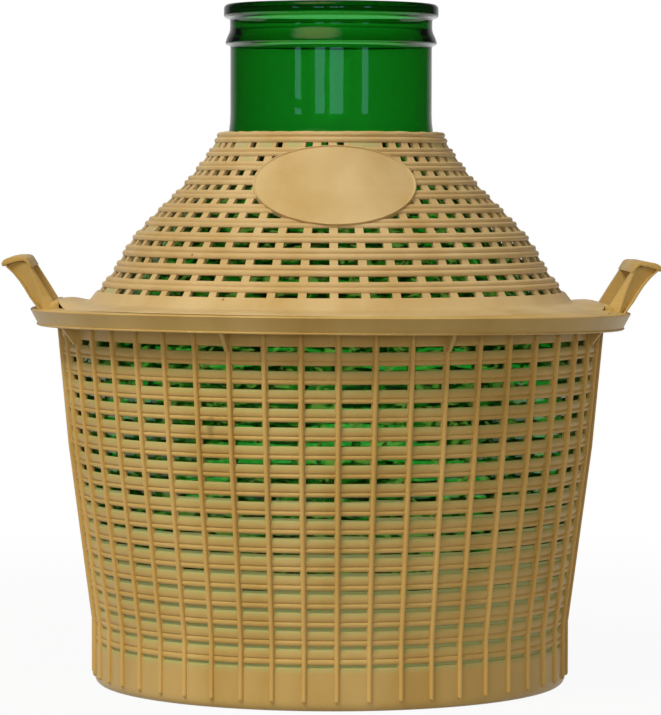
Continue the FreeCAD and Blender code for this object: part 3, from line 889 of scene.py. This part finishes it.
@dataclass
class BasketFlange:
    """The flange round the basket's rim and its skirt, which leans in and ends in a fine bead."""

    wall: BasketWall
    radius: float = 193.2
    skirt_height: float = 10.7
    lean: float = 4.8
    thickness: float = 2.5
    bead: float = 0.55
    burr_angles: tuple[float, ...] = (-118.2, -116.0, -52.3, -81.0)

    def section(self) -> Profile:
        """Closed section of flange and skirt."""
        top = self.wall.rim
        foot = top - self.skirt_height
        foot_radius = self.radius - self.lean
        inner = self.wall.rim_radius - self.wall.wall
        points = [(inner, top), (inner + 1, top)]
        points += arc((self.radius - 1.1, top - 1.1), 1.1, 90, 15, 4)
        points += [(foot_radius + 0.45, foot + 1.6), (foot_radius + 0.3, foot + 1.15)]
        points += arc((foot_radius, foot + self.bead), self.bead + 0.25, 50, -90, 5)
        points += [(foot_radius - self.thickness + 0.3, foot), (foot_radius - self.thickness, foot + 0.4)]
        points += [(self.radius - self.thickness - 1.6, top - self.thickness - 1.0),
                   (self.radius - self.thickness - 2.8, top - self.thickness),
                   (inner, top - self.thickness)]
        return points

    def build(self, material: bpy.types.Material) -> bpy.types.Object:
        """Spin the section and add the few burrs along the bead."""
        bm = bmesh.new()
        spin_section(bm, self.section(), self.wall.steps)
        foot = self.wall.rim - self.skirt_height
        for degrees in self.burr_angles:
            turn = Matrix.Rotation(math.radians(degrees), 3, "Z")
            reach = self.radius - self.lean + 0.4
            verts = bmesh.ops.create_icosphere(bm, subdivisions=2, radius=0.8)["verts"]
            bmesh.ops.scale(bm, vec=(1.3, 1.9, 0.7), verts=verts)
            bmesh.ops.translate(bm, vec=(reach, 0.0, foot + 0.3), verts=verts)
            bmesh.ops.rotate(bm, cent=ORIGIN, matrix=turn, verts=verts)
        close_up(bm)
        for vert in bm.verts:
            share = (math.hypot(vert.co.x, vert.co.y) - self.wall.rim_radius) / 9.0
            vert.co.z -= sag(vert.co.x) * min(1.0, max(0.0, share))
        return publish(bm, "basket_flange", material, Node.BASKET)


def ease(share: float) -> float:
    """Smooth step of a share, held to the range from 0 to 1."""
    held = min(1.0, max(0.0, share))
    return held * held * (3 - 2 * held)


def sag(x: float) -> float:
    """How far the soft flange hangs down beside the handles, and its slight lean to the right.

    Args:
        x: sideways place in millimetres.

    Returns:
        The drop in millimetres.
    """
    return 2.0 * min(1.2, (abs(x) / 193.0) ** 3) + 1.3 * x / 193.0


@dataclass
class BasketHandles:
    """Two leaning loop handles: legs with a ridge down their ends, a curled grip and a low root."""

    rim: float = 241.9
    length: float = 84.0
    leg_width: float = 9.0
    sunk: float = 2.7
    ridge_set_back: float = 2.8

    inner: Profile = field(default_factory=lambda: [
        (174.5, 241.4), (176.6, 246.0), (179.1, 250.0), (182.1, 255.0), (185.2, 260.0), (188.3, 265.0),
        (190.8, 269.0), (192.4, 271.8)])
    outer: Profile = field(default_factory=lambda: [
        (186.2, 241.4), (189.4, 246.0), (192.2, 250.0), (195.1, 255.0), (198.3, 260.0), (202.3, 265.0),
        (206.6, 269.0), (208.2, 271.8)])
    ridge: Profile = field(default_factory=lambda: [
        (182.0, 241.4), (183.2, 246.0), (184.5, 250.0), (186.2, 255.0), (188.1, 260.0), (190.2, 265.0),
        (191.9, 269.0), (192.9, 271.8)])

    def grip_outline(self) -> Profile:
        """Side view of the curled grip on top."""
        return [(190.0, 268.4), (192.8, 273.2), (193.9, 274.6), (196.0, 275.3), (201.5, 275.4),
                (206.2, 274.6), (208.6, 273.2), (209.6, 271.2), (209.2, 269.7), (208.0, 269.3),
                (206.6, 270.6), (200.5, 272.2), (195.6, 272.7), (193.6, 271.2), (192.0, 268.4)]

    def root_outline(self) -> Profile:
        """Side view of the low root that stands on the flange in front of the cover's foot."""
        return [(173.3, 241.2), (173.3, 245.6), (174.2, 246.9), (176.4, 247.0), (178.0, 245.8),
                (181.0, 241.2)]

    def leg_station(self, level: int, front: float) -> list[tuple[float, float, float]]:
        """Corners of a leg's level section.

        Args:
            level: which station of the profiles.
            front: the Y of the leg's outer end face.

        Returns:
            Points around the section.
        """
        step = 1 if front > 0 else -1
        (x_in, z), (x_ridge, _), (x_out, _) = self.inner[level], self.ridge[level], self.outer[level]
        back = front - step * self.leg_width
        sunk = front - step * self.sunk
        half = min(0.5, (x_ridge - x_in) / 3)
        return [
            (x_in, back, z), (x_out, back, z), (x_out, front - step * 0.5, z), (x_out - 0.5, front, z),
            (x_out - 1.1, front, z), (x_out - 1.9, sunk, z), (x_ridge + 1.8, front - step * 0.9, z),
            (x_ridge + half, front, z), (x_ridge - half, front, z),
            (x_in + 0.5, front - step * self.ridge_set_back * min(1.0, (x_ridge - x_in) / 5), z),
            (x_in, front - step * (self.ridge_set_back + 0.6), z)]

    def build_leg(self, bm: bmesh.types.BMesh, front: float) -> None:
        """Extrude a leg from station to station.

        Args:
            bm: the mesh that gets the leg.
            front: the Y of its outer end face.
        """
        leg = bmesh.new()
        face = leg.faces.new([leg.verts.new(point) for point in self.leg_station(0, front)])
        for level in range(1, len(self.inner)):
            made = bmesh.ops.extrude_face_region(leg, geom=[face])
            face = pick(made["geom"], bmesh.types.BMFace)[0]
            corners = self.leg_station(level, front)
            last = self.leg_station(level - 1, front)
            for vert in face.verts:
                key = min(range(len(last)), key=lambda k: (Vector(last[k]) - vert.co).length)
                vert.co = Vector(corners[key])
        join_solid(bm, leg)

    def build(self, material: bpy.types.Material) -> bpy.types.Object:
        """Build the handle at +X from legs, grip and root, and mirror it."""
        bm = bmesh.new()
        half = self.length / 2
        for outline, reach, round_off in ((self.grip_outline(), half + 0.2, 0.45),
                                          (self.root_outline(), half - 1.0, 0.6)):
            solid = bmesh.new()
            extrude_side_view(solid, outline, -reach, reach, round_off=round_off)
            join_solid(bm, solid)
        for side in (-1, 1):
            self.build_leg(bm, side * half)
        copy = bmesh.ops.duplicate(bm, geom=bm.verts[:] + bm.edges[:] + bm.faces[:])
        bmesh.ops.scale(bm, vec=(-1.0, 1.0, 1.0), verts=pick(copy["geom"], bmesh.types.BMVert))
        bmesh.ops.reverse_faces(bm, faces=pick(copy["geom"], bmesh.types.BMFace))
        for vert in bm.verts:
            vert.co.z -= sag(vert.co.x)
        return publish(bm, "basket_handles", material, Node.BASKET, crease=32.0)


@dataclass
class Cover:
    """The bell-shaped cover: double half-round rings, flat bars inside, plain foot and oval plate."""

    rows: tuple[float, ...] = (
        254.1, 263.9, 273.9, 284.3, 293.4, 302.3, 311.1, 319.6, 328.6, 337.5, 346.1)
    hole: float = 3.4
    top: float = 354.3
    wall: float = 1.8
    ridge: float = 1.15
    bar_width: float = 5.2
    bar_depth: float = 1.7
    foot: float = 241.9
    foot_radius: float = 177.9
    foot_flat: float = 174.4
    spigot_radius: float = 171.6
    spigot_depth: float = 7.0
    swell: float = 4.0
    ragged: float = 0.55
    flash_shares: tuple[float, float] = (0.02, 0.14)
    flash_rows: int = 9
    turn: float = math.radians(-0.8)
    steps: int = BAY_COUNT * 4
    side: Profile = field(default_factory=lambda: [
        (156.3, 244.4), (146.4, 258.0), (140.3, 265.7), (136.1, 273.4), (131.9, 281.0), (126.4, 288.8),
        (119.3, 296.4), (111.9, 304.2), (104.2, 311.9), (96.6, 319.5), (90.0, 327.3), (84.2, 334.9),
        (78.6, 342.7), (74.2, 350.4), (72.2, 356.0)])

    def normal(self, height: float) -> tuple[float, float]:
        """Unit normal of the side at a height, as (outward, up)."""
        rise = 3.0
        run = follow(self.side, height - rise) - follow(self.side, height + rise)
        length = math.hypot(run, 2 * rise)
        return 2 * rise / length, run / length

    def offset(self, height: float, out: float) -> tuple[float, float]:
        """Point that lies off the side.

        Args:
            height: height of the foot point on the side.
            out: distance along the normal, outward positive.

        Returns:
            (radius, height) of the point.
        """
        across, up = self.normal(height)
        return follow(self.side, height) + across * out, height + up * out

    def ring_section(self, low: float, high: float) -> Profile:
        """Section of one ring: two half-rounds outside and a flat inside."""
        section = []
        pieces = 14
        for k in range(pieces + 1):
            share = k / pieces
            swell = abs(math.sin(FULL_TURN * share)) ** 0.75
            section.append(self.offset(low + (high - low) * share, self.ridge * (swell - 1.0)))
        section += [self.offset(high - 0.1, -self.wall - self.ridge * 0.4),
                    self.offset(low + 0.1, -self.wall - self.ridge * 0.4)]
        return section

    def build_rings(self, material: bpy.types.Material) -> bpy.types.Object:
        """Spin the rings between the rows of holes."""
        bm = bmesh.new()
        half = self.hole / 2
        edges = [(row + half, above - half) for row, above in zip(self.rows, self.rows[1:])]
        edges.append((self.rows[-1] + half, self.top))
        for low, high in edges:
            spin_section(bm, self.ring_section(low, high), self.steps)
        close_up(bm)
        for vert in bm.verts:
            if vert.co.z > self.top - 2.6:
                vert.co.z += self.ragged * noise.noise(Vector((vert.co.x, vert.co.y, 0.0)) / 7.0)
        return publish(bm, "cover_rings", material, Node.COVER)

    def build_bars(self, material: bpy.types.Material) -> bpy.types.Object:
        """Sweep the flat bars on the inside of the rings."""
        bm = bmesh.new()
        half = self.bar_width / 2
        lean = 1.35
        section = [(-(self.wall + self.bar_depth) * lean, -half), (-self.wall * lean * 0.75, -half),
                   (-self.wall * lean * 0.75, half), (-(self.wall + self.bar_depth) * lean, half)]
        heights = [249.0] + [z for _, z in self.side[1:-1]] + [353.2]
        sweep_up(bm, section, [(follow(self.side, z), z) for z in heights])
        repeat_around(bm, BAY_COUNT, phase=self.turn)
        close_up(bm)
        return publish(bm, "cover_bars", material, Node.COVER)

    def build_foot(self, material: bpy.types.Material) -> bpy.types.Object:
        """Spin the plain lower band, the foot flange and the spigot inside the basket's wall."""
        bm = bmesh.new()
        band_top = self.rows[0] - self.hole / 2
        base = self.foot + 2.5
        section = [self.offset(band_top, -0.9), self.offset(band_top - 0.4, -0.25),
                   self.offset(band_top - 1.2, 0.0), self.offset(base + 1.6, 0.0), (158.4, base + 0.45),
                   (161.0, base), (164.0, base - 0.1), (167.0, base - 0.35), (170.0, base - 0.75),
                   (173.4, base - 1.3), (175.6, base - 1.65), (176.9, self.foot + 0.6)]
        section += [(self.foot_radius - 0.2, self.foot + 0.35), (self.foot_radius, self.foot + 0.05),
                    (self.spigot_radius, self.foot + 0.05),
                    (self.spigot_radius, self.foot - self.spigot_depth),
                    (self.spigot_radius - 2, self.foot - self.spigot_depth),
                    (self.spigot_radius - 2, self.foot - 0.4), (152.5, self.foot - 0.4),
                    (152.0, base), self.offset(band_top - 0.6, -3.0), self.offset(band_top, -2.6)]
        spin_section(bm, section, self.steps)
        close_up(bm)
        for side in (-1, 1):
            cut = bmesh.ops.bisect_plane(
                bm, geom=bm.verts[:] + bm.edges[:] + bm.faces[:], dist=0.0001,
                plane_co=(side * self.foot_flat, 0, 0), plane_no=(side, 0, 0), clear_outer=True)
            bmesh.ops.holes_fill(bm, edges=pick(cut["geom_cut"], bmesh.types.BMEdge), sides=0)
        close_up(bm)
        for vert in bm.verts:
            if vert.co.z < self.foot + 0.02:
                continue
            swell = ease((abs(vert.co.x) - 152.0) / 20.5) * ease((56.0 - abs(vert.co.y)) / 18.0)
            hang = min(1.0, max(0.0, (math.hypot(vert.co.x, vert.co.y) - 162.0) / 14.0))
            vert.co.z += self.swell * swell - sag(vert.co.x) * hang
        return publish(bm, "cover_foot", material, Node.COVER)

    def build_flash(self, material: bpy.types.Material) -> bpy.types.Object:
        """Thin flash that closes a few holes of the upper rows."""
        bm = bmesh.new()
        chance = random.Random(5)
        for row, height in enumerate(self.rows):
            radius, level = self.offset(height, -self.wall)
            across, up = self.normal(height)
            tilt = Matrix.Rotation(-math.atan2(up, across), 3, "Y")
            for bay in range(BAY_COUNT):
                if chance.random() > self.flash_shares[row >= self.flash_rows]:
                    continue
                verts = bmesh.ops.create_cube(bm, size=1.0)["verts"]
                turn = Matrix.Rotation((bay + 0.5) * BAY_ANGLE + self.turn, 3, "Z")
                bmesh.ops.scale(bm, vec=(0.5, radius * BAY_ANGLE, self.hole + 3), verts=verts)
                bmesh.ops.rotate(bm, cent=ORIGIN, matrix=tilt, verts=verts)
                bmesh.ops.translate(bm, vec=(radius, 0, level), verts=verts)
                bmesh.ops.rotate(bm, cent=ORIGIN, matrix=turn, verts=verts)
        close_up(bm)
        # Painted glow: the flash takes part of the greyer green of glass light through it.
        paint_glass_glow(bm, 0.6)
        return publish(bm, "cover_flash", material, Node.COVER)


@dataclass
class OvalPlate:
    """The bare oval plate on the cover's front, with a fine raised rim."""

    cover: Cover
    width: float = 102.0
    height: float = 49.0
    centre: float = 320.1
    proud: float = 0.7
    rim_height: float = 0.75
    segments: int = 112
    rings: int = 9

    def lay_on(self, x: float, z: float, out: float) -> Vector:
        """Put a point of the front view on the cover's side.

        Args:
            x: sideways place in millimetres.
            z: height in millimetres.
            out: distance off the side.

        Returns:
            The point in space.
        """
        radius, level = self.cover.offset(z, out)
        return Vector((x, -math.sqrt(max(1.0, radius * radius - x * x)), level))

    def build(self, material: bpy.types.Material) -> bpy.types.Object:
        """Inset a disc into rings, raise its rim and lay it on the cover.

        Args:
            material: the plastic.

        Returns:
            The piece.
        """
        bm = bmesh.new()
        made = bmesh.ops.create_circle(bm, cap_ends=True, cap_tris=False, segments=self.segments,
                                       radius=1.0)
        shares = [0.995, 0.985, 0.972, 0.965]
        shares += [0.965 * (1 - k / self.rings) for k in range(1, self.rings)]
        scales = [1.0, 1.0] + [inner / outer for outer, inner in zip(shares, shares[1:])]
        bmesh.ops.delete(bm, geom=bm.faces[:], context="FACES_ONLY")
        ring = bm.edges[:]
        outline = list(made["verts"])
        levels = [-2.6, self.proud, self.proud + self.rim_height * 0.8, self.proud + self.rim_height,
                  self.proud + self.rim_height * 0.5] + [self.proud] * self.rings
        for scale, level in zip(scales, levels):
            for vert in outline:
                vert.co.z = level
            grown = bmesh.ops.extrude_edge_only(bm, edges=ring)
            ring = pick(grown["geom"], bmesh.types.BMEdge)
            outline = pick(grown["geom"], bmesh.types.BMVert)
            bmesh.ops.scale(bm, vec=(scale, scale, 1.0), verts=outline)
        bmesh.ops.contextual_create(bm, geom=ring)
        for vert in bm.verts:
            x = vert.co.x * self.width / 2
            z = self.centre + vert.co.y * self.height / 2
            vert.co = self.lay_on(x, z, vert.co.z)
        close_up(bm)
        return publish(bm, "cover_plate", material, Node.COVER)


@dataclass
class Studio:
    """Camera at the photograph's place, soft lamps, and a white floor and sky."""

    target_height: float = 0.3253
    distance: float = 2.459
    azimuth: float = -1.6
    pitch: float = 2.71
    roll: float = 0.12
    focal_pixels: float = 3812.0
    long_side: float = 715.0
    sensor: float = 36.0
    ambient: float = 0.37
    ambient_colour: str = "#FFF6DE"
    daylight: str = "#A8E0FF"
    room_level: float = 0.03
    backdrop_from: float = 0.75
    backdrop_full: float = 1.2
    half_view: float = 45.0
    window_headings: tuple[tuple[float, float], ...] = ((-43.5, -36), (-20, -9), (-3.5, 12), (33.5, 41))
    window_sill: float = 0.012
    window_head: float = 0.07
    glow_from: tuple[float, float, float] = (-0.27, -0.68, 0.68)
    glow_colour: str = "#FFE6B0"
    glow_level: float = 1.7
    glow_edge: float = 0.89
    glow_core: float = 0.99
    window_level: float = 1.6

    def add_camera(self) -> bpy.types.Object:
        """Make the scene's camera.

        Returns:
            The camera.
        """
        lens = bpy.data.cameras.new("camera")
        lens.sensor_width = self.sensor
        lens.lens = self.focal_pixels / self.long_side * self.sensor
        camera = bpy.data.objects.new("camera", lens)
        bpy.context.scene.collection.objects.link(camera)
        turn = math.radians(self.azimuth)
        camera.location = (self.distance * math.sin(turn), -self.distance * math.cos(turn),
                           self.target_height)
        aim = Matrix.Rotation(turn, 4, "Z") @ Matrix.Rotation(math.radians(90 - self.pitch), 4, "X")
        camera.rotation_euler = (aim @ Matrix.Rotation(math.radians(self.roll), 4, "Z")).to_euler()
        bpy.context.scene.camera = camera
        return camera

    def add_lamp(self, name: str, place: tuple[float, float, float], size: tuple[float, float],
                 power: float, colour: str, aim: tuple[float, float, float] = (0, 0, 0.2)) -> None:
        """Add a soft box lamp.

        Args:
            name: the lamp's name.
            place: where it hangs, in metres.
            size: its width and height.
            power: watts.
            colour: its sRGB colour.
            aim: the point that it faces.
        """
        light = bpy.data.lights.new(name, "AREA")
        light.shape = "RECTANGLE"
        light.size, light.size_y = size
        light.energy = power
        light.color = linear(colour)[:3]
        lamp = bpy.data.objects.new(name, light)
        lamp.location = place
        lamp.rotation_euler = (Vector(aim) - Vector(place)).to_track_quat("-Z", "Y").to_euler()
        lamp.visible_glossy = False
        bpy.context.scene.collection.objects.link(lamp)

    def add_floor(self, material: bpy.types.Material) -> None:
        """Lay the floor that the basket stands on.

        Args:
            material: the floor's finish.
        """
        bm = bmesh.new()
        bmesh.ops.create_circle(bm, cap_ends=True, segments=64, radius=6.0)
        mesh = bpy.data.meshes.new("floor")
        bm.to_mesh(mesh)
        bm.free()
        mesh.materials.append(material)
        floor = bpy.data.objects.new("floor", mesh)
        bpy.context.scene.collection.objects.link(floor)

    def add_sky(self) -> None:
        """White backdrop to the camera and through glass, and a dim room that gloss and shade see.

        Gloss sees the white backdrop behind the object, and a dark room with tall windows in front.
        """
        world = bpy.data.worlds.new("sky")
        bpy.context.scene.world = world
        world.use_nodes = True
        tree = world.node_tree
        tree.nodes.clear()
        path = add_node(tree, "ShaderNodeLightPath")
        way = add_node(tree, "ShaderNodeTexCoord")
        parts = add_node(tree, "ShaderNodeSeparateXYZ", {0: way.outputs["Generated"]})
        backdrop = fade(tree, parts.outputs["Y"], self.backdrop_from, self.backdrop_full, self.room_level)
        facing = compute(tree, "MULTIPLY", parts.outputs["Y"], -1.0)
        heading = compute(tree, "ARCTAN2", parts.outputs["X"], facing)
        half_view = math.radians(self.half_view)
        panes = add_node(tree, "ShaderNodeValToRGB", {"Fac": fade(tree, heading, -half_view, half_view)})
        panes.color_ramp.interpolation = "CONSTANT"
        for stop in panes.color_ramp.elements:
            stop.color = (0.0, 0.0, 0.0, 1.0)
        for left, right in self.window_headings:
            for edge, level in ((left, 1.0), (right, 0.0)):
                stop = panes.color_ramp.elements.new((edge + self.half_view) / (2 * self.half_view))
                stop.color = (level, level, level, 1.0)
        middle = (self.window_sill + self.window_head) / 2
        half_height = (self.window_head - self.window_sill) / 2
        opening = compute(tree, "COMPARE", parts.outputs["Z"], middle, half_height)
        window = compute(tree, "MULTIPLY", panes.outputs["Color"], opening)
        lit = compute(tree, "MULTIPLY_ADD", window, self.window_level, backdrop)
        aligned = add_node(tree, "ShaderNodeVectorMath", {
            0: way.outputs["Generated"], 1: self.glow_from}, operation="DOT_PRODUCT")
        glow = fade(tree, aligned.outputs["Value"], self.glow_edge, self.glow_core, smooth=True)
        reflected = compute(tree, "MULTIPLY_ADD", glow, self.glow_level, lit)
        glossy = path.outputs["Is Glossy Ray"]
        unlit = add_node(tree, "ShaderNodeMix", {0: glossy, 2: self.ambient, 3: reflected})
        direct = compute(tree, "MAXIMUM", path.outputs["Is Camera Ray"],
                         path.outputs["Is Transmission Ray"])
        strength = compute(tree, "MAXIMUM", direct, unlit.outputs[0])
        sky = mix_colours(tree, window, linear("#FFFFFF"), linear(self.daylight))
        warmed = mix_colours(tree, glow, sky, linear(self.glow_colour))
        tint = mix_colours(tree, glossy, linear(self.ambient_colour), warmed)
        colour = mix_colours(tree, direct, tint, linear("#FFFFFF"))
        light = add_node(tree, "ShaderNodeBackground", {
            "Color": colour, "Strength": strength})
        add_node(tree, "ShaderNodeOutputWorld", {"Surface": light.outputs["Background"]})

    def build(self) -> None:
        """Set up the whole studio."""
        self.add_camera()
        self.add_floor(PaleStage().make())
        self.add_sky()
        self.add_lamp("key", (-1.3, -1.45, 2.7), (1.2, 0.9), 67.0, "#FFFBF0")
        self.add_lamp("front", (-0.5, -2.6, 0.5), (1.4, 0.8), 9.5, "#FFF8EA")
        self.add_lamp("fill", (1.6, -2.2, 0.9), (1.0, 1.0), 4.0, "#FFF4E2")
        bpy.context.scene.view_settings.view_transform = "Standard"


def main() -> None:
    """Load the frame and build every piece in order."""
    logging.basicConfig(level=logging.INFO, format="%(name)s: %(message)s")
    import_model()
    glass = BottleGlass().make()
    # The last greenish colour of each plastic is the painted glow of glass light through thin plastic.
    basket_plastic = MouldedPolyethylene(
        "moulded_polyethylene_basket", colour="#C8A866", shade="#BD9A56", pale="#D1B274", painted_glass_glow="#A6B076",
        specks=BASKET_SPECKS).make()
    cover_plastic = MouldedPolyethylene("moulded_polyethylene_cover", specks=COVER_SPECKS).make()
    GlassVessel().build(glass)
    wall = BasketWall()
    wall.build_bands(basket_plastic)
    wall.build_bars(basket_plastic)
    wall.build_webs(basket_plastic)
    ribs = BasketRibs(wall)
    # The ribs take a paler copy of the basket plastic: a painted highlight for the lit ribs.
    ribs.build_ribs(MouldedPolyethylene(
        "moulded_polyethylene_ribs_painted_highlight", colour="#D4AF68", shade="#CAA35A", pale="#DCBA75",
        painted_glass_glow="#B0B47C").make())
    ribs.build_gussets(basket_plastic)
    BasketFlange(wall).build(basket_plastic)
    BasketHandles().build(basket_plastic)
    cover = Cover()
    cover.build_rings(cover_plastic)
    cover.build_bars(cover_plastic)
    cover.build_foot(cover_plastic)
    cover.build_flash(cover_plastic)
    OvalPlate(cover).build(cover_plastic)
    Studio().build()


if __name__ == "__main__":
    main()
